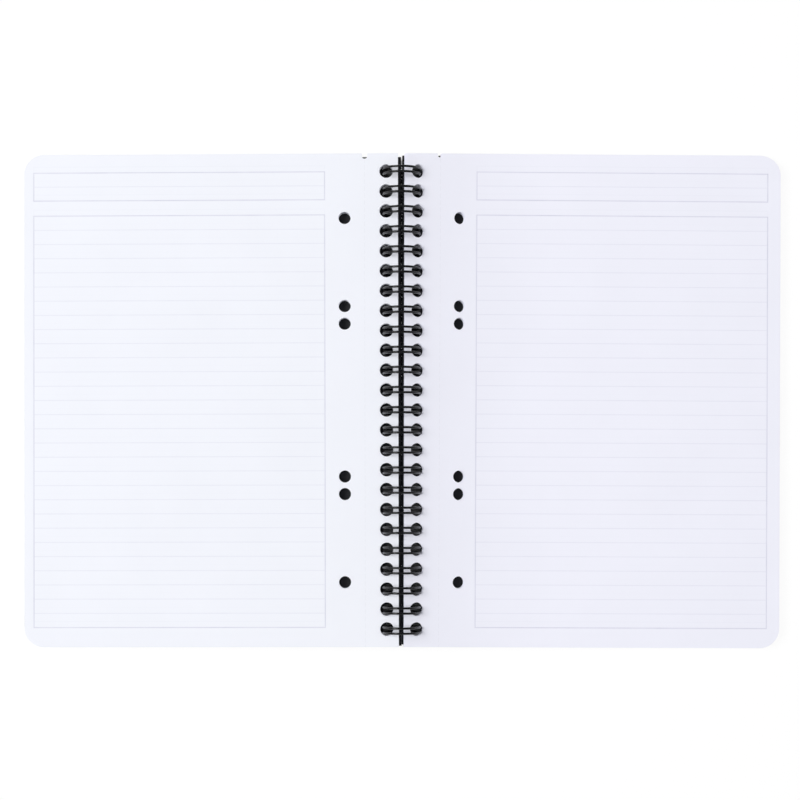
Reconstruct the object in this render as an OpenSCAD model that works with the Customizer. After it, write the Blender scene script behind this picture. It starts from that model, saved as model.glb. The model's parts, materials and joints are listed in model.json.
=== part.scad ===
// Open notebook with a twin-loop wire binding, lying flat and opened at its middle.
// Origin under the middle of the binding, on the surface it lies on; +Y towards the page heads.

/* [Pages] */
// Width of one sheet, from its punched edge to its fore-edge
page_w = 159.5; // [120:0.5:210]
// Height of one sheet
page_h = 210; // [170:1:297]
// Radius of the two corners at the fore-edge
corner_r = 8.5; // [2:0.5:15]
// Thickness of one sheet
sheet_t = 0.11; // [0.08:0.01:0.14]
// Sheets turned to the left
left_sheets = 40; // [20:1:42]
// Sheets left on the right
right_sheets = 40; // [20:1:42]
// Distance of the punched edge from the middle of the binding
page_gap = 1.5; // [0.5:0.1:2]

/* [Covers] */
// Distance that a cover reaches past the fore-edges of the sheets
cover_reach = 0.85; // [0:0.05:3]
// Distance that a cover stays inside the sheets at the head and at the foot
cover_inset = 0.5; // [0:0.1:1]
// Thickness of a cover
cover_t = 0.8; // [0.4:0.1:1]
// Distance of a cover's punched edge from the middle of the binding
cover_gap = 0.35; // [0.2:0.05:0.8]
// Air between a cover and the sheets that lie on it
cover_air = 0.1; // [0.05:0.05:0.3]

/* [Binding] */
// Distance from one double loop to the next, three to the inch
loop_pitch = 8.467; // [8:0.001:8.6]
// Radius of a closed loop, to the middle of the wire
loop_r = 7.7; // [7.5:0.05:8]
// Thickness of the coated wire
wire_d = 1; // [0.8:0.1:1.1]
// Distance between the two wires of a loop
wire_pair = 2.2; // [2:0.1:2.4]
// Free length between the tips of the loops and the bends that they close on
seam_play = 0.3; // [0.2:0.1:0.8]

/* [Punching] */
// Diameter of the binding holes in the sheets
ring_hole_d = 5.6; // [5:0.1:5.8]
// Distance of these holes from the punched edge of a sheet
ring_hole_edge = 5; // [4.8:0.1:5.4]
// Diameter of the binding holes in a cover
cover_hole_d = 4.8; // [4.6:0.1:5.2]
// Distance of these holes from the punched edge of a cover
cover_hole_edge = 5.4; // [5.2:0.1:5.8]
// Diameter of the filing holes in the sheets
file_hole_d = 5.2; // [4.5:0.1:6.5]
// Distance of the filing holes from the punched edge
file_hole_edge = 22.75; // [20:0.25:28]
// Spacing of the filing holes for a two-ring file
file_two = 80; // [78:1:82]
// Spacing of the inner filing holes for a four-ring file
file_inner = 65; // [63:1:67]
// Spacing of the outer filing holes for a four-ring file
file_outer = 155; // [150:1:160]

/* [Tear-off strip] */
// Width of the strip that stays in the binding
stub_w = 14.2; // [12:0.1:17]
// Width of the notch that starts the tear
notch_w = 2.5; // [1.5:0.1:4]
// Depth of the notch
notch_depth = 2; // [1:0.1:4]
// Distance from one slit of the perforation to the next
slit_pitch = 3; // [2.5:0.5:5]
// Length of a slit
slit_len = 2; // [1:0.1:2]
// Width of a slit
slit_w = 0.15; // [0.1:0.05:0.3]

/* [Ruling] */
// Distance from one ruled line to the next
rule_pitch = 6.05; // [5:0.05:10]
// Distance of the head box from the head of the page
head_margin = 7.8; // [5:0.1:10]
// Height of one row of the head box
head_row = 5.95; // [5:0.05:6]
// Distance of the ruled frame from the head of the page
frame_margin = 26.15; // [24:0.05:30]
// Least distance of the ruled frame from the foot of the page
foot_margin = 8; // [5:0.5:15]
// Distance of the ruling from the punched edge
rule_start = 30.7; // [29:0.1:34]
// Distance of the ruling from the fore-edge
rule_end = 4.6; // [3:0.1:15]
// Width of a printed line
rule_w = 0.3; // [0.2:0.05:0.6]

/* [Hidden] */
$fn = 48;

// The loops stand on the surface, and both halves hinge about their middle line
axis_z = loop_r + wire_d / 2;
// The open page lies just below that line, so that the two halves meet face to face when closed
axis_drop = 0.15;
// The print is shown by lines this deep
rule_depth = 0.05;
// A cut runs past the faces it opens by this much
past = 1;
// A bead this much thicker than the wire joins each two stretches of it
bead = 1.02;

left_t = left_sheets * sheet_t;
right_t = right_sheets * sheet_t;

// The covers follow the size of the sheets
cover_w = page_gap + page_w + cover_reach - cover_gap;
cover_h = page_h - 2 * cover_inset;
// As many double loops as the height of the sheets has room for
loops = floor(page_h / loop_pitch);
// As many ruled rows as fit between the two margins
rule_rows = floor((page_h - frame_margin - foot_margin) / rule_pitch);

// Width across the bend from one loop to the next
wire_bend = loop_pitch - wire_pair;
// The tips close between two bends, this far from where the bends begin
seam_len = sqrt(pow(wire_bend / 2 + wire_pair / 2 + wire_d, 2) - pow(loop_pitch / 2, 2)) + seam_play;
seam_angle = 2 * asin(seam_len / 2 / loop_r);
bend_angle = 2 * asin(wire_bend / 4 / loop_r);
tip_angle = 2 * asin(wire_pair / 4 / loop_r);
// The bends and the tips meet at the lowest point of the loops
wire_end = 270 + (seam_angle - bend_angle - tip_angle) / 2 - seam_angle + tip_angle;
wire_start = wire_end + seam_angle - 360;

// Lowest face of the cover under a block of this thickness, below the hinge line
function under(t) = axis_drop + t + cover_air + cover_t;
// Slope at which a half rests on its fore-edge
function slope(t) = asin(axis_z / norm([cover_gap + cover_w, under(t)])) - atan2(under(t), cover_gap + cover_w);

// A length of wire along a circle of radius r, from angle a to angle b
module wire_arc(r, a, b) {
    rotate([0, 0, a])
        rotate_extrude(angle = b - a)
            translate([r, 0])
                circle(d = wire_d);
}

// Moves its children to angle a of a loop, with +Z along the wire
module on_loop(a) {
    rotate([0, -a, 0])
        translate([loop_r, 0, 0])
            children();
}

// One double loop: two wires round the circle, joined by a tip
module double_loop() {
    for (y = [-wire_pair / 2, wire_pair / 2])
        translate([0, y, 0]) {
            rotate([90, 0, 0])
                wire_arc(loop_r, wire_start, wire_end);
            for (a = [wire_start, wire_end])
                on_loop(a)
                    sphere(d = bead * wire_d);
        }
    on_loop(wire_start)
        rotate([0, 90 + tip_angle / 2, 0])
            wire_arc(wire_pair / 2, -90, 90);
}

// The bend that carries the wire on to the next loop
module base_bend() {
    on_loop(wire_end)
        rotate([0, -90 - bend_angle / 2, 0])
            wire_arc(wire_bend / 2, -90, 90);
}

module wire_binding()
    color("#1c1d20")
        translate([0, 0, axis_z]) {
            for (k = [0 : loops - 1])
                translate([0, (k - (loops - 1) / 2) * loop_pitch, 0])
                    double_loop();
            for (k = [1 : loops - 1])
                translate([0, (k - loops / 2) * loop_pitch, 0])
                    base_bend();
        }

// Lays one half out: side 1 to the right, -1 to the left, with z = 0 on the hinge line
module half(side, t) {
    mirror([side < 0 ? 1 : 0, 0, 0])
        translate([0, 0, axis_z])
            rotate([0, slope(t), 0])
                children();
}

// Outline of a sheet or cover: square at the punched edge, rounded at the fore-edge
module leaf_outline(w, h) {
    translate([0, -h / 2])
        square([w - corner_r, h]);
    translate([w - corner_r - past, corner_r - h / 2])
        square([corner_r + past, h - 2 * corner_r]);
    for (y = [corner_r - h / 2, h / 2 - corner_r])
        translate([w - corner_r, y])
            circle(r = corner_r);
}

// The row of binding holes, this far from the punched edge
module ring_holes(d, edge) {
    for (k = [0 : loops - 1])
        translate([edge, (k - (loops - 1) / 2) * loop_pitch])
            circle(d = d);
}

module cover(side, t)
    half(side, t)
        translate([cover_gap, 0, -under(t)])
            linear_extrude(cover_t)
                difference() {
                    leaf_outline(cover_w, cover_h);
                    ring_holes(cover_hole_d, cover_hole_edge);
                }

// The notch at the head of the page, on the line that the sheet tears along
module tear_notch() {
    translate([stub_w, page_h / 2 - notch_depth + notch_w / 2]) {
        circle(d = notch_w);
        translate([-notch_w / 2, 0])
            square([notch_w, notch_depth]);
    }
}

// The slits that the sheet tears along, between the notch and the foot of the page
module perforation() {
    for (y = [slit_pitch / 2 : slit_pitch : page_h - notch_depth - slit_pitch])
        translate([stub_w - slit_w / 2, y - page_h / 2])
            square([slit_w, slit_len]);
}

// A line of the ruling across the page, at this height
module rule_line(y) {
    translate([rule_start, y - rule_w / 2])
        square([page_w - rule_end - rule_start, rule_w]);
}

// The two upright lines that close a box of the ruling, from height a down to b
module rule_sides(a, b) {
    for (x = [rule_start, page_w - rule_end - rule_w])
        translate([x, b - rule_w / 2])
            square([rule_w, a - b + rule_w]);
}

module ruling() {
    head = page_h / 2 - head_margin;
    frame = page_h / 2 - frame_margin;
    for (k = [0 : 2])
        rule_line(head - k * head_row);
    rule_sides(head, head - 2 * head_row);
    for (k = [0 : rule_rows])
        rule_line(frame - k * rule_pitch);
    rule_sides(frame, frame - rule_rows * rule_pitch);
}

// The six filing holes, upright so that a file's rings go straight through
module file_holes(t) {
    for (spacing = [file_two, file_inner, file_outer])
        for (y = [-spacing / 2, spacing / 2])
            translate([file_hole_edge, y, -axis_drop - t / 2])
                rotate([0, -slope(t), 0])
                    cylinder(d = file_hole_d, h = t + 2 * past, center = true);
}

module pages(side, t)
    half(side, t)
        translate([page_gap, 0, 0])
            difference() {
                translate([0, 0, -axis_drop - t])
                    linear_extrude(t)
                        difference() {
                            leaf_outline(page_w, page_h);
                            ring_holes(ring_hole_d, ring_hole_edge);
                            tear_notch();
                            perforation();
                        }
                translate([0, 0, -axis_drop - rule_depth])
                    linear_extrude(rule_depth + past)
                        ruling();
                file_holes(t);
            }

module front_cover()
    color("#202124")
        cover(-1, left_t);

module back_cover()
    color("#202124")
        cover(1, right_t);

module left_pages()
    color("#f3f6fd")
        pages(-1, left_t);

module right_pages()
    color("#e9e9f4")
        pages(1, right_t);

wire_binding();
front_cover();
back_cover();
left_pages();
right_pages();
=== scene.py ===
"""Dresses the frame of an open wire-bound notebook: its sheets, covers and wire, and a plain studio."""

import json
import math
import random

import bmesh
import bpy
from mathutils import Matrix, Vector


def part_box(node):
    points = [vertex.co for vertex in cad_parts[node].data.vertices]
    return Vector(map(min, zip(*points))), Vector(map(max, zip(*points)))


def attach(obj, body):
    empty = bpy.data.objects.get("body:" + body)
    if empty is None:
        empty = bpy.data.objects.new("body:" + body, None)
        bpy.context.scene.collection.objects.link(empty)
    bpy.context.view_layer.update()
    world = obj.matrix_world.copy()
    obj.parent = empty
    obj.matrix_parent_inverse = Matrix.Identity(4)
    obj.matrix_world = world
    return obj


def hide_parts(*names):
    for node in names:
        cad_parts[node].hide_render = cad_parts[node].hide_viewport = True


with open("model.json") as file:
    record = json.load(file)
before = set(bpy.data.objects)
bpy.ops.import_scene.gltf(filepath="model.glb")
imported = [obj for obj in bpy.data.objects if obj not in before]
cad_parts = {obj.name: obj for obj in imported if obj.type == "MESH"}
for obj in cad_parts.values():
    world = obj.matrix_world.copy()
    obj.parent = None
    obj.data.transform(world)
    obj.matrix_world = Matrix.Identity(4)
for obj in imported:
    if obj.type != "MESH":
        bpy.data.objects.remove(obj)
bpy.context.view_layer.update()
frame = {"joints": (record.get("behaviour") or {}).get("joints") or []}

bl_info = {
    "name": "Wire-bound notebook",
    "version": (1, 0, 0),
    "blender": (4, 5, 0),
    "location": "3D View > Sidebar > Notebook",
    "description": "Models the sheets, covers and wire of an open notebook, and the studio it lies in",
    "category": "Object",
}

MM = 0.001
HINGE = Vector(frame["joints"][0]["pos_m"])
LEFT, RIGHT = -1, 1


def length(name, description, default_mm):
    """A size in metres, given in millimetres."""
    return bpy.props.FloatProperty(
        name=name,
        description=description,
        default=default_mm * MM,
        precision=5,
        subtype="DISTANCE",
        unit="LENGTH",
    )


def colour(name, description, default):
    """A linear colour."""
    return bpy.props.FloatVectorProperty(
        name=name,
        description=description,
        default=default,
        size=3,
        min=0.0,
        max=1.0,
        subtype="COLOR",
    )


class NotebookSheets(bpy.types.PropertyGroup):
    """Sizes and colours of the two blocks of sheets."""

    width: length("Width", "From the punched edge to the fore-edge", 159.5)
    height: length("Height", "Height of a sheet", 210.0)
    left_rise: length("Left rise", "How far the left sheets have slipped towards the head", 0.34)
    right_rise: length("Right rise", "How far the right sheets have slipped towards the head", 0.35)
    corner: length("Corner radius", "Radius of the corners at the fore-edge", 8.5)
    gap: length("Gap", "From the middle of the binding to the punched edge", 1.5)
    pitch: length("Sheet pitch", "Height that each sheet takes in the block", 0.11)
    air: length("Air", "Air between two sheets", 0.008)
    drop: length("Drop", "From the hinge line down to the open page", 0.15)
    count: bpy.props.IntProperty(name="Sheets", description="Sheets in each block", default=40, min=1)
    hole: length("Binding hole", "Diameter of a binding hole", 5.8)
    hole_edge: length("Binding hole place", "From the punched edge to the hole's middle", 5.0)
    file_hole: length("Filing hole", "Diameter of a filing hole", 5.2)
    file_edge: length("Filing hole place", "From the punched edge to the hole's middle", 22.75)
    stub: length("Stub", "Width of the strip that stays in the binding", 14.2)
    notch: length("Notch width", "Width of the notch that starts the tear", 2.5)
    left_notch: length("Left notch depth", "Depth of the notch that starts the tear, on the left", 2.3)
    right_notch: length("Right notch depth", "Depth of the notch that starts the tear, on the right", 1.75)
    left_paper: colour("Left paper", "Colour of the left page", (0.842, 0.858, 0.918))
    right_paper: colour("Right paper", "Colour of the right page", (0.85, 0.854, 0.94))
    # Painted shade: the right page's colour is darkened beside the binding, for the shade where its stub bends up; the
    # end is where this painted shade stops.
    gutter_shade: bpy.props.FloatProperty(
        name="Shaded", description="How much greyer the right page is beside the binding", default=0.055, min=0.0, max=1.0
    )
    gutter_shade_end: length("Worn end", "From the punched edge to where the page is no longer greyer", 62.0)


class NotebookRuling(bpy.types.PropertyGroup):
    """Sizes and colours of the print."""

    pitch: length("Line pitch", "Distance from one ruled line to the next", 6.05)
    rows: bpy.props.IntProperty(name="Rows", description="Ruled rows in the frame", default=29, min=1)
    head: length("Head margin", "From the head of the page to the head box", 7.8)
    head_row: length("Head row", "Height of one row of the head box", 5.95)
    top: length("Frame margin", "From the head of the page to the ruled frame", 26.15)
    start: length("Inner margin", "From the punched edge to the ruling", 30.7)
    end: length("Outer margin", "From the fore-edge to the ruling", 4.6)
    line: length("Line width", "Width of a ruled line", 0.38)
    border: length("Border width", "Width of a line of the frame", 0.44)
    left_register: length("Left register", "How far the left page's print lies towards the binding", -0.49)
    right_register: length("Right register", "How far the right page's print lies towards the binding", 0.96)
    ink: colour("Ink", "Colour of the print", (0.46, 0.46, 0.6))


class NotebookCovers(bpy.types.PropertyGroup):
    """Sizes and colour of the two covers."""

    width: length("Width", "From the punched edge to the fore-edge", 161.625)
    height: length("Height", "Height of a cover", 209.0)
    thickness: length("Thickness", "Thickness of a cover", 0.8)
    gap: length("Gap", "From the middle of the binding to the punched edge", 0.225)
    air: length("Air", "Air between a cover and the sheets on it", 0.1)
    hole: length("Binding hole", "Diameter of a binding hole", 4.8)
    hole_edge: length("Binding hole place", "From the punched edge to the hole's middle", 5.525)
    rim: length("Rim", "Radius that the edges are rounded to", 0.1)
    left_rise: length("Left rise", "How far the front cover has slipped towards the head", 0.05)
    right_rise: length("Right rise", "How far the back cover has slipped towards the head", 0.64)
    turn: bpy.props.FloatProperty(
        name="Turn",
        description="How far each cover has turned, so that the two come closer at the foot",
        default=math.radians(0.064),
        subtype="ANGLE",
    )
    plastic: colour("Plastic", "Colour of the covers", (0.007, 0.007, 0.009))


class NotebookWire(bpy.types.PropertyGroup):
    """Sizes and colour of the binding wire."""

    loops: bpy.props.IntProperty(name="Loops", description="Number of double loops", default=24, min=2)
    pitch: length("Loop pitch", "Distance from one double loop to the next", 8.467)
    radius: length("Loop radius", "Radius of a closed loop, to the middle of the wire", 7.7)
    thickness: length("Wire thickness", "Thickness of the coated wire", 1.0)
    pair: length("Pair", "Distance between the two wires of a loop", 2.2)
    seam_play: length("Seam play", "Free length between the tips and the bends they close on", 0.3)
    coat: colour("Coating", "Colour of the wire's coating", (0.005, 0.005, 0.006))


class NotebookStage(bpy.types.PropertyGroup):
    """The studio and the camera."""

    distance: length("Camera distance", "From the camera down to the open pages", 767.0)
    offset: length("Camera offset", "How far the camera stands towards the foot of the pages", 43.7)
    tilt: bpy.props.FloatProperty(
        name="Camera tilt", description="How far the camera leans back", default=math.radians(0.4), subtype="ANGLE"
    )
    view_width: length("View width", "Width of the picture, measured on the open pages", 339.9)
    shift_x: length("View shift X", "How far right of the binding the picture's middle lies", -0.68)
    shift_y: length("View shift Y", "How far above the binding's middle the picture's middle lies", 0.27)
    floor: colour("Floor", "Colour of the floor", (1.0, 1.0, 1.0))
    lift: bpy.props.FloatProperty(
        name="Lift", description="How much the floor's shadows are lightened", default=0.88, min=0.0, max=1.0
    )
    around: bpy.props.FloatProperty(
        name="Light around", description="Strength of the soft light from all four sides", default=0.85, min=0.0
    )
    overhead: bpy.props.FloatProperty(
        name="Light overhead", description="Strength of the soft light from straight above", default=1.1, min=0.0
    )
    # Painted shade on the floor under the wire: how much of the floor's colour is left there, how wide it fades out,
    # and the strip along the spine that it spares.
    shade: bpy.props.FloatProperty(
        name="Shade", description="How much of the floor's white shows under the wire", default=0.1, min=0.0, max=1.0
    )
    fade: length("Fade", "Width over which the floor grows white again beside the wire", 10.0)
    spine: length("Spine", "How far from the middle of the binding the floor stays white", 0.8)
    window: bpy.props.FloatProperty(
        name="Side light", description="Power of the broad lamp on the left, in watts", default=32.0, min=0.0
    )
    room: bpy.props.FloatProperty(
        name="Room light", description="Strength of the room's light at the horizon", default=0.25, min=0.0
    )


class NotebookSettings(bpy.types.PropertyGroup):
    """All the settings of the notebook."""

    sheets: bpy.props.PointerProperty(type=NotebookSheets)
    ruling: bpy.props.PointerProperty(type=NotebookRuling)
    covers: bpy.props.PointerProperty(type=NotebookCovers)
    wire: bpy.props.PointerProperty(type=NotebookWire)
    stage: bpy.props.PointerProperty(type=NotebookStage)


# The mixing node's sockets for colours: the factor, the two colours and the result
COLOUR_MIX_INPUTS, COLOUR_MIX_RESULT = (0, 6, 7), 2


class Nodes:
    """Adds nodes to a material, so that a pattern reads as a formula."""

    def __init__(self, name):
        self.material = bpy.data.materials.new(name)
        self.material.use_nodes = True
        self.tree = self.material.node_tree
        self.shader = self.tree.nodes["Principled BSDF"]
        self.place = self.add("ShaderNodeTexCoord").outputs["Object"]

    def add(self, kind, settings=None, **inputs):
        """Adds a node; each input is a value or the socket that feeds it."""
        made = self.tree.nodes.new(kind)
        for key, value in (settings or {}).items():
            setattr(made, key, value)
        for key, value in inputs.items():
            self.feed(made.inputs[key.replace("_", " ")], value)
        return made

    def feed(self, socket, value):
        """Links a socket to its source, or sets it to a value."""
        if isinstance(value, bpy.types.NodeSocket):
            self.tree.links.new(value, socket)
        else:
            socket.default_value = value

    def sum(self, operation, *values):
        """One step of arithmetic."""
        made = self.tree.nodes.new("ShaderNodeMath")
        made.operation = operation
        for socket, value in zip(made.inputs, values):
            self.feed(socket, value)
        return made.outputs[0]

    def largest(self, first, *others):
        for other in others:
            first = self.sum("MAXIMUM", first, other)
        return first

    def product(self, first, *others):
        for other in others:
            first = self.sum("MULTIPLY", first, other)
        return first

    def near(self, value, middle, reach):
        """1 where the value is within reach of the middle, else 0."""
        return self.sum("COMPARE", value, middle, reach)

    def between(self, value, low, high):
        return self.near(value, (low + high) / 2, (high - low) / 2)

    def noise(self, scale, detail=2.0, roughness=0.5, place=None):
        """Cloudy noise from 0 to 1, with about this many clouds to the metre."""
        made = self.add("ShaderNodeTexNoise", Scale=scale, Detail=detail, Roughness=roughness)
        self.tree.links.new(place or self.place, made.inputs["Vector"])
        return made.outputs["Fac"]

    def stretched(self, scale):
        """Object coordinates drawn out along an axis."""
        return self.add("ShaderNodeMapping", Vector=self.place, Scale=scale).outputs["Vector"]

    def range(self, value, low, high, to_low, to_high):
        """Maps a value from one range to another."""
        made = self.add("ShaderNodeMapRange", Value=value)
        made.inputs["From Min"].default_value = low
        made.inputs["From Max"].default_value = high
        made.inputs["To Min"].default_value = to_low
        made.inputs["To Max"].default_value = to_high
        return made.outputs["Result"]

    def mix(self, amount, first, second):
        """Mixes two colours, either of which may be a socket."""
        made = self.add("ShaderNodeMix", {"data_type": "RGBA"})
        for index, value in zip(COLOUR_MIX_INPUTS, (amount, first, second)):
            self.feed(made.inputs[index], value)
        return made.outputs[COLOUR_MIX_RESULT]

    def bump(self, height, distance, strength=1.0):
        """Roughens the surface, by this many metres at most."""
        made = self.add("ShaderNodeBump", Height=height, Distance=distance, Strength=strength)
        self.tree.links.new(made.outputs["Normal"], self.shader.inputs["Normal"])


def rgba(values, factor=1.0):
    """A colour with its alpha, made darker or lighter by a factor."""
    return tuple(min(1.0, v * factor) for v in values) + (1.0,)


def wire_coating(wire):
    """Black nylon coating: glossy, a little uneven, rubbed greyer where it has been handled."""
    nodes = Nodes("wire_coating")
    uneven = nodes.noise(420.0, 3.0)
    specks = nodes.range(nodes.noise(5200.0, 1.0), 0.68, 0.76, 0.0, 1.0)
    rubbed = nodes.range(uneven, 0.35, 0.7, 0.0, 0.5)
    base = nodes.mix(rubbed, rgba(wire.coat), rgba(wire.coat, 2.2))
    base = nodes.mix(nodes.product(specks, 0.35), base, rgba((0.07, 0.07, 0.075)))
    nodes.feed(nodes.shader.inputs["Base Color"], base)
    nodes.feed(nodes.shader.inputs["Roughness"], nodes.range(uneven, 0.3, 0.7, 0.13, 0.22))
    nodes.bump(nodes.noise(900.0, 2.0), 0.00002)
    return nodes.material


def cover_plastic(covers):
    """Black polypropylene sheet with a fine matt grain, and scuffs along one direction."""
    nodes = Nodes("cover_plastic")
    grain = nodes.noise(3800.0, 2.0, 0.6)
    scuffs = nodes.range(nodes.noise(160.0, 4.0, 0.7, nodes.stretched((1.0, 9.0, 1.0))), 0.58, 0.72, 0.0, 1.0)
    base = nodes.mix(nodes.product(scuffs, 0.3), rgba(covers.plastic), rgba(covers.plastic, 2.4))
    nodes.feed(nodes.shader.inputs["Base Color"], base)
    cloud = nodes.noise(26.0, 2.0)
    nodes.feed(nodes.shader.inputs["Roughness"], nodes.range(cloud, 0.3, 0.7, 0.43, 0.5))
    nodes.bump(grain, 0.00006, 0.7)
    return nodes.material


# How dark the ruled lines are beside the frame, the print on the paper, and the print behind
PALE_RULES, PRINT_STRENGTH, TRACE_STRENGTH = 0.4, 0.44, 0.04
# How far the print behind lies above the print on the page, as a share of a ruled row
TRACE_RISE = 0.42
# The perforation: its pitch, half the share of it that is cut, half the width of a slit, and how dark it shows, which
# is painted shade in the cuts
SLIT_PITCH, SLIT_SHARE, SLIT_HALF, SLIT_STRENGTH = 3.0 * MM, 0.33, 0.1 * MM, 0.14


def ruling_mask(nodes, ruling, sheets, across, up, shift=0.0):
    """How dark the print is, from 0 to 1, at a place on the page."""
    head = sheets.height / 2 - ruling.head
    top = sheets.height / 2 - ruling.top
    foot = top - ruling.rows * ruling.pitch
    start = ruling.start
    end = sheets.width - ruling.end
    half_line = ruling.line / 2
    half_border = ruling.border / 2
    up = nodes.sum("SUBTRACT", up, shift)
    inside = nodes.between(across, start, end)
    rows = nodes.sum("PINGPONG", nodes.sum("DIVIDE", nodes.sum("SUBTRACT", up, foot), ruling.pitch), 0.5)
    rules = nodes.product(
        nodes.sum("LESS_THAN", rows, half_line / ruling.pitch), nodes.between(up, foot, top), inside
    )
    head_rule = nodes.product(nodes.near(up, head - ruling.head_row, half_line), inside)
    levels = [nodes.near(up, y, half_border) for y in (top, foot, head, head - 2 * ruling.head_row)]
    level_lines = nodes.product(nodes.largest(*levels), nodes.between(across, start - half_border, end + half_border))
    uprights = nodes.largest(nodes.near(across, start, half_border), nodes.near(across, end, half_border))
    boxes = nodes.largest(nodes.between(up, foot, top), nodes.between(up, head - 2 * ruling.head_row, head))
    borders = nodes.largest(level_lines, nodes.product(uprights, boxes))
    pale = nodes.product(nodes.largest(rules, head_rule), PALE_RULES)
    return nodes.largest(pale, borders)


def page_paper(side, sheets, ruling, slip):
    """Smooth writing paper with pale ruling, a perforated tear-off line and a trace of the print behind."""
    if side == LEFT:
        name, tint, rise, register = "left_page_paper", sheets.left_paper, sheets.left_rise, ruling.left_register
    else:
        name, tint, rise, register = "right_page_paper", sheets.right_paper, sheets.right_rise, ruling.right_register
    out, turn = slip
    nodes = Nodes(name)
    turned = nodes.add("ShaderNodeMapping", Vector=nodes.place, Rotation=(0.0, 0.0, -turn * side)).outputs["Vector"]
    place = nodes.add("ShaderNodeSeparateXYZ", Vector=turned)
    across = nodes.sum("MULTIPLY_ADD", place.outputs["X"], float(side), -sheets.gap - out)
    up = nodes.sum("SUBTRACT", place.outputs["Y"], rise)
    printed = nodes.sum("ADD", across, register)
    print_mask = ruling_mask(nodes, ruling, sheets, printed, up)
    behind = ruling_mask(nodes, ruling, sheets, printed, up, TRACE_RISE * ruling.pitch)
    clouds = nodes.noise(30.0, 3.0, 0.55)
    fibres = nodes.noise(2600.0, 3.0, 0.6)
    inking = nodes.range(nodes.noise(90.0, 3.0, 0.6), 0.3, 0.7, 0.72, 1.15)
    paper = nodes.mix(nodes.range(clouds, 0.3, 0.7, 0.0, 1.0), rgba(tint, 0.99), rgba(tint, 1.01))
    paper = nodes.mix(nodes.range(fibres, 0.3, 0.7, 0.0, 0.3), paper, rgba(tint, 0.965))
    # Painted shade: the right page is darkened up to the perforation and less and less beyond it, for the shade beside
    # the binding.
    if side == RIGHT:
        gutter_shade = nodes.range(across, sheets.stub, sheets.gutter_shade_end, sheets.gutter_shade, 0.0)
        paper = nodes.mix(gutter_shade, paper, rgba(tint, 0.0))
    paper = nodes.mix(nodes.product(behind, TRACE_STRENGTH), paper, rgba(ruling.ink))
    paper = nodes.mix(nodes.product(print_mask, inking, PRINT_STRENGTH), paper, rgba(ruling.ink))
    slits = nodes.product(
        nodes.sum("LESS_THAN", nodes.sum("PINGPONG", nodes.sum("DIVIDE", up, SLIT_PITCH), 0.5), SLIT_SHARE),
        nodes.near(across, sheets.stub, SLIT_HALF),
    )
    # Painted shade: the slits are darkened for the shade inside the cuts.
    paper = nodes.mix(nodes.product(slits, SLIT_STRENGTH), paper, rgba(tint, 0.55))
    nodes.feed(nodes.shader.inputs["Base Color"], paper)
    nodes.feed(nodes.shader.inputs["Roughness"], nodes.range(fibres, 0.3, 0.7, 0.72, 0.86))
    nodes.shader.inputs["Specular IOR Level"].default_value = 0.3
    relief = nodes.sum("SUBTRACT", fibres, nodes.product(slits, 2.0))
    nodes.bump(relief, 0.000012, 0.8)
    return nodes.material


# Past the ends of the wire, the floor's painted shade fades back to white between these two distances
FADE_START, FADE_END = 4 * MM, 6.5 * MM


def studio_floor(stage):
    """A seamless white floor; its shadows show lightened, but less and less towards the wire, where its colour is
    darkened as painted shade.
    """
    nodes = Nodes("studio_floor")
    nodes.shader.inputs["Roughness"].default_value = 0.9
    nodes.shader.inputs["Specular IOR Level"].default_value = 0.0
    place = nodes.add("ShaderNodeSeparateXYZ", Vector=nodes.place)
    aside = nodes.sum("ABSOLUTE", place.outputs["X"])
    along = nodes.sum("ABSOLUTE", place.outputs["Y"])
    side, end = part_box("wire_binding")[1].xy
    under_wire = nodes.product(
        nodes.range(aside, side, side + stage.fade, 1.0, 0.0),
        nodes.range(along, end + FADE_START, end + FADE_END, 1.0, 0.0),
    )
    # Painted shade: the floor's colour is darkened under the wire, except along the spine, for the shadow beneath the
    # binding.
    painted_floor_shade = nodes.product(under_wire, nodes.sum("GREATER_THAN", aside, stage.spine))
    nodes.feed(
        nodes.shader.inputs["Base Color"],
        nodes.mix(painted_floor_shade, rgba(stage.floor), rgba(stage.floor, stage.shade)),
    )
    seen = nodes.add("ShaderNodeLightPath").outputs["Is Camera Ray"]
    lift = nodes.product(seen, nodes.sum("SUBTRACT", 1.0, under_wire), stage.lift)
    glow = nodes.add("ShaderNodeEmission", Color=rgba(stage.floor), Strength=1.0)
    mixed = nodes.tree.nodes.new("ShaderNodeMixShader")
    nodes.feed(mixed.inputs[0], lift)
    nodes.feed(mixed.inputs[1], nodes.shader.outputs["BSDF"])
    nodes.feed(mixed.inputs[2], glow.outputs["Emission"])
    nodes.feed(nodes.tree.nodes["Material Output"].inputs["Surface"], mixed.outputs["Shader"])
    return nodes.material


def finish_piece(bm, name, material, body, replaced, smooth):
    """Closes a mesh, makes it an object and ties it to the frame."""
    mesh = bpy.data.meshes.new(name)
    bm.to_mesh(mesh)
    bm.free()
    for face in mesh.polygons:
        face.use_smooth = smooth
    mesh.materials.append(material)
    piece = bpy.data.objects.new(name, mesh)
    bpy.context.scene.collection.objects.link(piece)
    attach(piece, body)
    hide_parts(replaced)
    return piece


def under(settings):
    """From the hinge line down to the lowest face of a cover."""
    sheets, covers = settings.sheets, settings.covers
    return sheets.drop + sheets.count * sheets.pitch + covers.air + covers.thickness


def half_matrix(settings, side):
    """Lays one half out, from a place on the flat half to its place on the floor."""
    reach = settings.covers.gap + settings.covers.width
    low = under(settings)
    slope = math.asin(HINGE.z / math.hypot(reach, low)) - math.atan2(low, reach)
    return Matrix.Diagonal((side, 1, 1, 1)) @ Matrix.Translation(HINGE) @ Matrix.Rotation(slope, 4, "Y")


# Segments of a rounded corner, and of the holes
CORNER_STEPS, SHEET_HOLE_SIDES, FILE_HOLE_SIDES, COVER_HOLE_SIDES = 10, 24, 32, 32
# The notch's two corners are rounded by almost half its width, so that they don't meet
NOTCH_ROUNDING = 0.999


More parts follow.
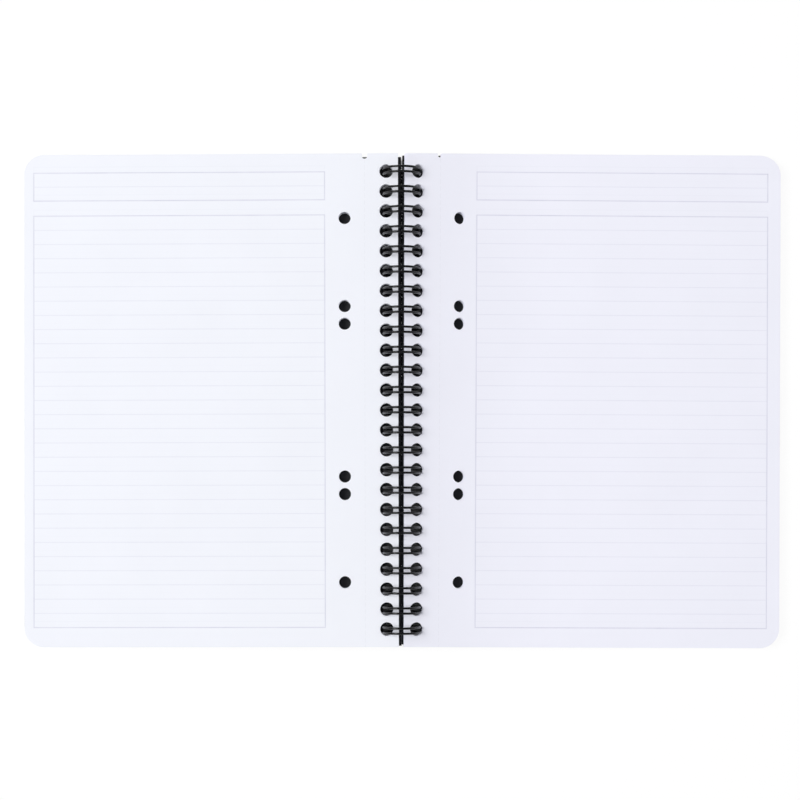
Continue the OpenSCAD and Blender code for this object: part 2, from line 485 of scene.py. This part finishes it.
def leaf_edge(bm, width, height, corner, stub=None, notch=0.0, notch_depth=0.0):
    """Draws the outline of a leaf: square at the punched edge, round at the fore-edge, with a notch at the head."""
    foot, head = -height / 2, height / 2
    corners = [(0.0, foot), (width, foot), (width, head)]
    rounded = {1: corner, 2: corner}
    if stub is not None:
        right, left, low = stub + notch / 2, stub - notch / 2, head - notch_depth
        corners += [(right, head), (right, low), (left, low), (left, head)]
        rounded |= {4: notch / 2 * NOTCH_ROUNDING, 5: notch / 2 * NOTCH_ROUNDING}
    corners.append((0.0, head))
    verts = [bm.verts.new((x, y, 0.0)) for x, y in corners]
    bm.faces.new(verts)
    for index, radius in rounded.items():
        bmesh.ops.bevel(
            bm,
            geom=[verts[index]],
            offset=radius,
            offset_type="OFFSET",
            affect="VERTICES",
            segments=CORNER_STEPS,
            profile=0.5,
            material=-1,
        )
    bmesh.ops.delete(bm, geom=bm.faces[:], context="FACES_ONLY")


def punch(bm, x, y, diameter, segments):
    """Draws one punched hole."""
    bmesh.ops.create_circle(
        bm, cap_ends=False, radius=diameter / 2, segments=segments, matrix=Matrix.Translation((x, y, 0.0))
    )


def punch_binding(bm, wire, x, diameter, segments):
    """Draws the row of holes that the wire goes through."""
    for k in range(wire.loops):
        punch(bm, x, (k - (wire.loops - 1) / 2) * wire.pitch, diameter, segments)


def fill_and_thicken(bm, thickness):
    """Fills an outline round its holes and gives the leaf its thickness."""
    bmesh.ops.triangle_fill(bm, use_beauty=True, use_dissolve=False, edges=bm.edges[:])
    bmesh.ops.recalc_face_normals(bm, faces=bm.faces[:])
    if bm.faces[0].normal.z > 0:
        bmesh.ops.reverse_faces(bm, faces=bm.faces[:])
    made = bmesh.ops.extrude_face_region(bm, geom=bm.faces[:])
    raised = [v for v in made["geom"] if isinstance(v, bmesh.types.BMVert)]
    bmesh.ops.translate(bm, vec=(0.0, 0.0, thickness), verts=raised)
    bmesh.ops.recalc_face_normals(bm, faces=bm.faces[:])


# Spacings of the filing holes, for a two-ring file and for the inner and outer rings of a four-ring file
FILE_SPACINGS = (80.0 * MM, 65.0 * MM, 155.0 * MM)


def one_sheet(settings, side):
    """One punched sheet, lying flat with its punched edge on the Y axis."""
    sheets = settings.sheets
    notch_depth = sheets.left_notch if side == LEFT else sheets.right_notch
    bm = bmesh.new()
    leaf_edge(bm, sheets.width, sheets.height, sheets.corner, sheets.stub, sheets.notch, notch_depth)
    punch_binding(bm, settings.wire, sheets.hole_edge, sheets.hole, SHEET_HOLE_SIDES)
    for spacing in FILE_SPACINGS:
        for y in (-spacing / 2, spacing / 2):
            punch(bm, sheets.file_edge, y, sheets.file_hole, FILE_HOLE_SIDES)
    fill_and_thicken(bm, sheets.pitch - sheets.air)
    mesh = bpy.data.meshes.new("one_sheet")
    bm.to_mesh(mesh)
    bm.free()
    return mesh


# How far the sheets have slipped out, in millimetres, and turned, in degrees. Each has three shares: one that all
# sheets have, one that grows evenly from the cover to the open page, and one for the sheets near the open page.
SLIPPED_OUT = {LEFT: (0.03, -0.13, 0.0), RIGHT: (-0.45, 0.25, 0.61)}
TURNED = {LEFT: (-0.08, -0.035, 0.0), RIGHT: (-0.08, -0.07, -0.12)}
# The power that keeps the third share near the open page
NEAR_TOP = 9
# How much a sheet may differ from these, either way
SLIP_CHANCE, TURN_CHANCE = 0.05, 0.006


def sheet_slip(side, level, chance, top):
    """How far a sheet has slipped out, and how far it has turned; level is 0 at the cover and 1 at the open page."""
    out, turn = (
        shared + even * level + near * level**NEAR_TOP for shared, even, near in (SLIPPED_OUT[side], TURNED[side])
    )
    if not top:
        out += chance.uniform(-SLIP_CHANCE, SLIP_CHANCE)
        turn += chance.uniform(-TURN_CHANCE, TURN_CHANCE)
    return out * MM, math.radians(turn)


# Where the random numbers of each block of sheets start
SEEDS = {LEFT: 11, RIGHT: 23}


def block_of_sheets(settings, side):
    """A block of loose sheets on one side of the binding."""
    sheets = settings.sheets
    sheet = one_sheet(settings, side)
    chance = random.Random(SEEDS[side])
    bottom = -sheets.drop - sheets.count * sheets.pitch
    rise = sheets.left_rise if side == LEFT else sheets.right_rise
    matrix = half_matrix(settings, side)
    bm = bmesh.new()
    for k in range(sheets.count):
        old = len(bm.verts)
        bm.from_mesh(sheet)
        bm.verts.ensure_lookup_table()
        top = k == sheets.count - 1
        out, turn = sheet_slip(side, k / (sheets.count - 1), chance, top)
        place = Matrix.Translation((sheets.gap + out, rise, bottom + k * sheets.pitch + sheets.air))
        bmesh.ops.transform(bm, matrix=matrix @ place @ Matrix.Rotation(turn, 4, "Z"), verts=bm.verts[old:])
        slip = (out, turn)
    bpy.data.meshes.remove(sheet)
    if side == LEFT:
        bmesh.ops.reverse_faces(bm, faces=bm.faces[:])
    name, body = ("left_sheets", "left_half") if side == LEFT else ("right_sheets", "right_half")
    node, slot = ("left_pages", "left_paper") if side == LEFT else ("right_pages", "right_paper")
    return finish_piece(bm, name, page_paper(side, sheets, settings.ruling, slip), body, node, False)


# Faces of a cover that meet at less than the first angle become one, and edges above the second are rounded
FLAT_ANGLE, SHARP_ANGLE = math.radians(1.0), math.radians(60.0)
# An edge whose ends differ in height by less than this is level
LEVEL_WITHIN = 0.01 * MM


def cover_sheet(settings, side, material):
    """One cover, die-cut from plastic sheet, with its edges slightly rounded."""
    covers = settings.covers
    bm = bmesh.new()
    leaf_edge(bm, covers.width, covers.height, settings.sheets.corner)
    punch_binding(bm, settings.wire, covers.hole_edge, covers.hole, COVER_HOLE_SIDES)
    fill_and_thicken(bm, covers.thickness)
    bmesh.ops.dissolve_limit(
        bm, angle_limit=FLAT_ANGLE, use_dissolve_boundaries=False, verts=bm.verts[:], edges=bm.edges[:]
    )
    sharp = [e for e in bm.edges if len(e.link_faces) == 2 and e.calc_face_angle() > SHARP_ANGLE]
    rims = [e for e in sharp if abs(e.verts[0].co.z - e.verts[1].co.z) < LEVEL_WITHIN]
    bmesh.ops.bevel(
        bm, geom=rims, offset=covers.rim, affect="EDGES", segments=2, profile=0.5, material=-1, clamp_overlap=True
    )
    rise = covers.left_rise if side == LEFT else covers.right_rise
    place = Matrix.Translation((covers.gap, rise, -under(settings)))
    place = place @ Matrix.Rotation(-covers.turn, 4, "Z")
    bmesh.ops.transform(bm, matrix=half_matrix(settings, side) @ place, verts=bm.verts[:])
    if side == LEFT:
        bmesh.ops.reverse_faces(bm, faces=bm.faces[:])
    name, body = ("front_cover_sheet", "left_half") if side == LEFT else ("back_cover_sheet", "right_half")
    node = "front_cover" if side == LEFT else "back_cover"
    return finish_piece(bm, name, material, body, node, False)


def ring_verts(edges):
    """The corners of a ring of edges."""
    return list({v for e in edges for v in e.verts})


class WireBender:
    """Bends one wire by carrying its end round circles, as the forming machine does."""

    def __init__(self, bm, start, thickness, sides):
        self.bm = bm
        made = bmesh.ops.create_circle(bm, cap_ends=False, radius=thickness / 2, segments=sides, matrix=start)
        self.end = list({e for v in made["verts"] for e in v.link_edges})

    def middle(self):
        """The middle of the wire's end."""
        verts = ring_verts(self.end)
        return sum((v.co for v in verts), Vector()) / len(verts)

    def bend(self, centre, axis, angle, steps):
        """Carries the end of the wire round a circle."""
        made = bmesh.ops.spin(
            self.bm, geom=ring_verts(self.end) + self.end, cent=centre, axis=axis, angle=angle, steps=steps
        )
        self.end = [e for e in made["geom_last"] if isinstance(e, bmesh.types.BMEdge)]

    def turn(self, axis, angle):
        """Turns the end of the wire where it is, before the next bend."""
        bmesh.ops.rotate(
            self.bm, cent=self.middle(), matrix=Matrix.Rotation(angle, 3, axis), verts=ring_verts(self.end)
        )


# Sides of the wire's section, and steps of its three kinds of bend
WIRE_SIDES, LOOP_STEPS, TIP_STEPS, BASE_STEPS = 14, 64, 12, 16


def double_loop(wire, with_bend):
    """One double loop, standing in the middle: up one wire, round the tip, back, and to where the next one starts."""
    across = Vector((0.0, 1.0, 0.0))
    bend_width = wire.pitch - wire.pair
    seam = math.sqrt((bend_width / 2 + wire.pair / 2 + wire.thickness) ** 2 - (wire.pitch / 2) ** 2) + wire.seam_play
    seam_angle = 2 * math.asin(seam / 2 / wire.radius)
    bend_angle = 2 * math.asin(bend_width / 4 / wire.radius)
    tip_angle = 2 * math.asin(wire.pair / 4 / wire.radius)
    end = math.radians(270) + (seam_angle - bend_angle - tip_angle) / 2 - seam_angle + tip_angle
    sweep = math.radians(360) - seam_angle

    def on_loop(angle, y):
        return HINGE + Vector((math.cos(angle) * wire.radius, y, math.sin(angle) * wire.radius))

    def along(angle):
        """The way the wire runs there, towards growing angles."""
        return Vector((-math.sin(angle), 0.0, math.cos(angle)))

    bm = bmesh.new()
    heading = along(end).to_track_quat("Z", "Y").to_matrix().to_4x4()
    start = Matrix.Translation(on_loop(end, -wire.pair / 2)) @ heading
    bender = WireBender(bm, start, wire.thickness, WIRE_SIDES)
    bender.bend(HINGE, across, sweep, LOOP_STEPS)
    bender.turn(across, tip_angle / 2)
    tip_way = Matrix.Rotation(tip_angle / 2, 3, across) @ -along(end - sweep)
    bender.bend(on_loop(end - sweep, 0.0), (-across).cross(tip_way), math.pi, TIP_STEPS)
    bender.turn(across, -tip_angle / 2)
    bender.bend(HINGE, across, -sweep, LOOP_STEPS)
    if with_bend:
        bender.turn(across, -bend_angle / 2)
        bend_way = Matrix.Rotation(-bend_angle / 2, 3, across) @ along(end)
        bender.bend(on_loop(end, wire.pitch / 2), (-across).cross(bend_way), math.pi, BASE_STEPS)
        bender.turn(across, bend_angle / 2)
    mesh = bpy.data.meshes.new("double_loop")
    bm.to_mesh(mesh)
    bm.free()
    return mesh


def binding_wire(settings):
    """The twin-loop wire: one wire bent into double loops, all the way up the spine."""
    wire = settings.wire
    loop, last_loop = double_loop(wire, True), double_loop(wire, False)
    bm = bmesh.new()
    for k in range(wire.loops):
        old = len(bm.verts)
        bm.from_mesh(loop if k < wire.loops - 1 else last_loop)
        bm.verts.ensure_lookup_table()
        y = (k - (wire.loops - 1) / 2) * wire.pitch
        bmesh.ops.translate(bm, vec=(0.0, y, 0.0), verts=bm.verts[old:])
    bmesh.ops.remove_doubles(bm, verts=bm.verts[:], dist=0.001 * MM)
    bmesh.ops.holes_fill(bm, edges=[e for e in bm.edges if e.is_boundary], sides=0)
    bmesh.ops.recalc_face_normals(bm, faces=bm.faces[:])
    bpy.data.meshes.remove(loop)
    bpy.data.meshes.remove(last_loop)
    return finish_piece(bm, "binding_wire", wire_coating(wire), "binding", "wire_binding", True)


def add_lamp(name, kind, place, target=(0.0, 0.0, 0.0)):
    """A lamp at a place, turned towards the target."""
    lamp = bpy.data.lights.new(name, kind)
    body = bpy.data.objects.new(name, lamp)
    body.location = place
    body.rotation_euler = (Vector(place) - Vector(target)).to_track_quat("Z", "Y").to_euler()
    bpy.context.scene.collection.objects.link(body)
    return body


# The soft lamps at the sides: name, where they stand, in degrees round from the right, and share of the light
SIDE_LAMPS = (("right", 0, 0.4), ("back", 90, 0.1), ("left", 180, 0.25), ("front", 270, 0.25))
# How high they stand, and how wide all the soft lamps look from the notebook
SIDE_LEVEL, SOFT_WIDTH = math.radians(58.0), math.radians(24.0)
# The round lamp on the left, in metres
WINDOW_PLACE, WINDOW_SIZE = (-1.6, 0.24, 2.0), 1.4


def studio_lamps(stage):
    """Soft light from all four sides and from above, kept out of the reflections, and a large lamp on the left."""
    lamps = [add_lamp("soft_overhead", "SUN", (0.0, 0.0, 1.0))]
    lamps[0].data.energy = stage.overhead
    for name, azimuth, share in SIDE_LAMPS:
        turn, reach = math.radians(azimuth), math.cos(SIDE_LEVEL)
        place = (math.cos(turn) * reach, math.sin(turn) * reach, math.sin(SIDE_LEVEL))
        lamps.append(add_lamp(f"soft_{name}", "SUN", place))
        lamps[-1].data.energy = stage.around * share
    for lamp in lamps:
        lamp.data.angle = SOFT_WIDTH
        lamp.visible_glossy = False
    window = add_lamp("window", "AREA", WINDOW_PLACE)
    window.data.shape = "DISK"
    window.data.size = WINDOW_SIZE
    window.data.energy = stage.window


# The room's light falls off between these heights, given as the sine of the angle, to a share of itself overhead
ROOM_LOW, ROOM_HIGH, ROOM_OVERHEAD = 0.35, 0.95, 0.06


def studio_world(stage):
    """Room light, bright at the horizon and dark overhead; where the camera sees past the floor, it is white."""
    world = bpy.data.worlds.new("studio")
    world.use_nodes = True
    tree = world.node_tree
    place = tree.nodes.new("ShaderNodeTexCoord")
    parts = tree.nodes.new("ShaderNodeSeparateXYZ")
    level = tree.nodes.new("ShaderNodeMapRange")
    level.inputs["From Min"].default_value = ROOM_LOW
    level.inputs["From Max"].default_value = ROOM_HIGH
    level.inputs["To Min"].default_value = stage.room
    level.inputs["To Max"].default_value = stage.room * ROOM_OVERHEAD
    tree.links.new(place.outputs["Generated"], parts.inputs["Vector"])
    tree.links.new(parts.outputs["Z"], level.inputs["Value"])
    seen = tree.nodes.new("ShaderNodeLightPath")
    strength = tree.nodes.new("ShaderNodeMath")
    strength.operation = "MAXIMUM"
    tree.links.new(level.outputs["Result"], strength.inputs[0])
    tree.links.new(seen.outputs["Is Camera Ray"], strength.inputs[1])
    tree.links.new(strength.outputs[0], tree.nodes["Background"].inputs["Strength"])
    tree.nodes["Background"].inputs["Color"].default_value = (1.0, 1.0, 1.0, 1.0)
    bpy.context.scene.world = world


def studio_camera(stage):
    """Looks down on the open pages from a little towards their foot, leaning back, with the rest by a lens shift."""
    aside = math.atan(stage.offset / stage.distance) - stage.tilt
    depth = math.hypot(stage.offset, stage.distance) * math.cos(aside)
    data = bpy.data.cameras.new("camera")
    data.sensor_fit = "HORIZONTAL"
    data.angle = 2 * math.atan(stage.view_width / 2 / depth)
    data.shift_x = stage.shift_x / stage.view_width
    data.shift_y = (depth * math.tan(aside) + stage.shift_y) / stage.view_width
    camera = bpy.data.objects.new("camera", data)
    camera.location = (0.0, -stage.offset, HINGE.z + stage.distance)
    camera.rotation_euler.x = stage.tilt
    bpy.context.scene.collection.objects.link(camera)
    bpy.context.scene.camera = camera


class NOTEBOOK_OT_sheets(bpy.types.Operator):
    """Models the two blocks of sheets"""

    bl_idname = "notebook.sheets"
    bl_label = "Sheets"

    def execute(self, context):
        for side in (LEFT, RIGHT):
            block_of_sheets(context.scene.notebook, side)
        return {"FINISHED"}


class NOTEBOOK_OT_covers(bpy.types.Operator):
    """Models the two covers"""

    bl_idname = "notebook.covers"
    bl_label = "Covers"

    def execute(self, context):
        settings = context.scene.notebook
        material = cover_plastic(settings.covers)
        for side in (LEFT, RIGHT):
            cover_sheet(settings, side, material)
        return {"FINISHED"}


class NOTEBOOK_OT_wire(bpy.types.Operator):
    """Bends the binding wire"""

    bl_idname = "notebook.wire"
    bl_label = "Wire"

    def execute(self, context):
        binding_wire(context.scene.notebook)
        return {"FINISHED"}


# Half the width of the floor, in metres, and how far it lies below the notebook
FLOOR_REACH, FLOOR_DROP = 3.0, 0.1 * MM


class NOTEBOOK_OT_stage(bpy.types.Operator):
    """Sets up the floor, the light and the camera"""

    bl_idname = "notebook.stage"
    bl_label = "Stage"

    def execute(self, context):
        stage = context.scene.notebook.stage
        bm = bmesh.new()
        place = Matrix.Translation((0.0, 0.0, -FLOOR_DROP))
        bmesh.ops.create_grid(bm, x_segments=1, y_segments=1, size=FLOOR_REACH, matrix=place)
        mesh = bpy.data.meshes.new("studio_floor")
        bm.to_mesh(mesh)
        bm.free()
        mesh.materials.append(studio_floor(stage))
        floor = bpy.data.objects.new("studio_floor", mesh)
        context.scene.collection.objects.link(floor)
        studio_world(stage)
        studio_lamps(stage)
        studio_camera(stage)
        context.scene.view_settings.view_transform = "Standard"
        return {"FINISHED"}


class NOTEBOOK_PT_panel(bpy.types.Panel):
    """Lists the steps of the notebook in the sidebar"""

    bl_idname = "NOTEBOOK_PT_panel"
    bl_label = "Notebook"
    bl_space_type = "VIEW_3D"
    bl_region_type = "UI"
    bl_category = "Notebook"

    def draw(self, context):
        for step in STEPS:
            self.layout.operator(step.bl_idname)


GROUPS = (NotebookSheets, NotebookRuling, NotebookCovers, NotebookWire, NotebookStage, NotebookSettings)
STEPS = (NOTEBOOK_OT_stage, NOTEBOOK_OT_sheets, NOTEBOOK_OT_covers, NOTEBOOK_OT_wire)
CLASSES = GROUPS + STEPS + (NOTEBOOK_PT_panel,)


def register():
    for cls in CLASSES:
        bpy.utils.register_class(cls)
    bpy.types.Scene.notebook = bpy.props.PointerProperty(type=NotebookSettings)


def unregister():
    del bpy.types.Scene.notebook
    for cls in reversed(CLASSES):
        bpy.utils.unregister_class(cls)


def main():
    register()
    bpy.ops.notebook.stage()
    bpy.ops.notebook.sheets()
    bpy.ops.notebook.covers()
    bpy.ops.notebook.wire()


if __name__ == "__main__":
    main()
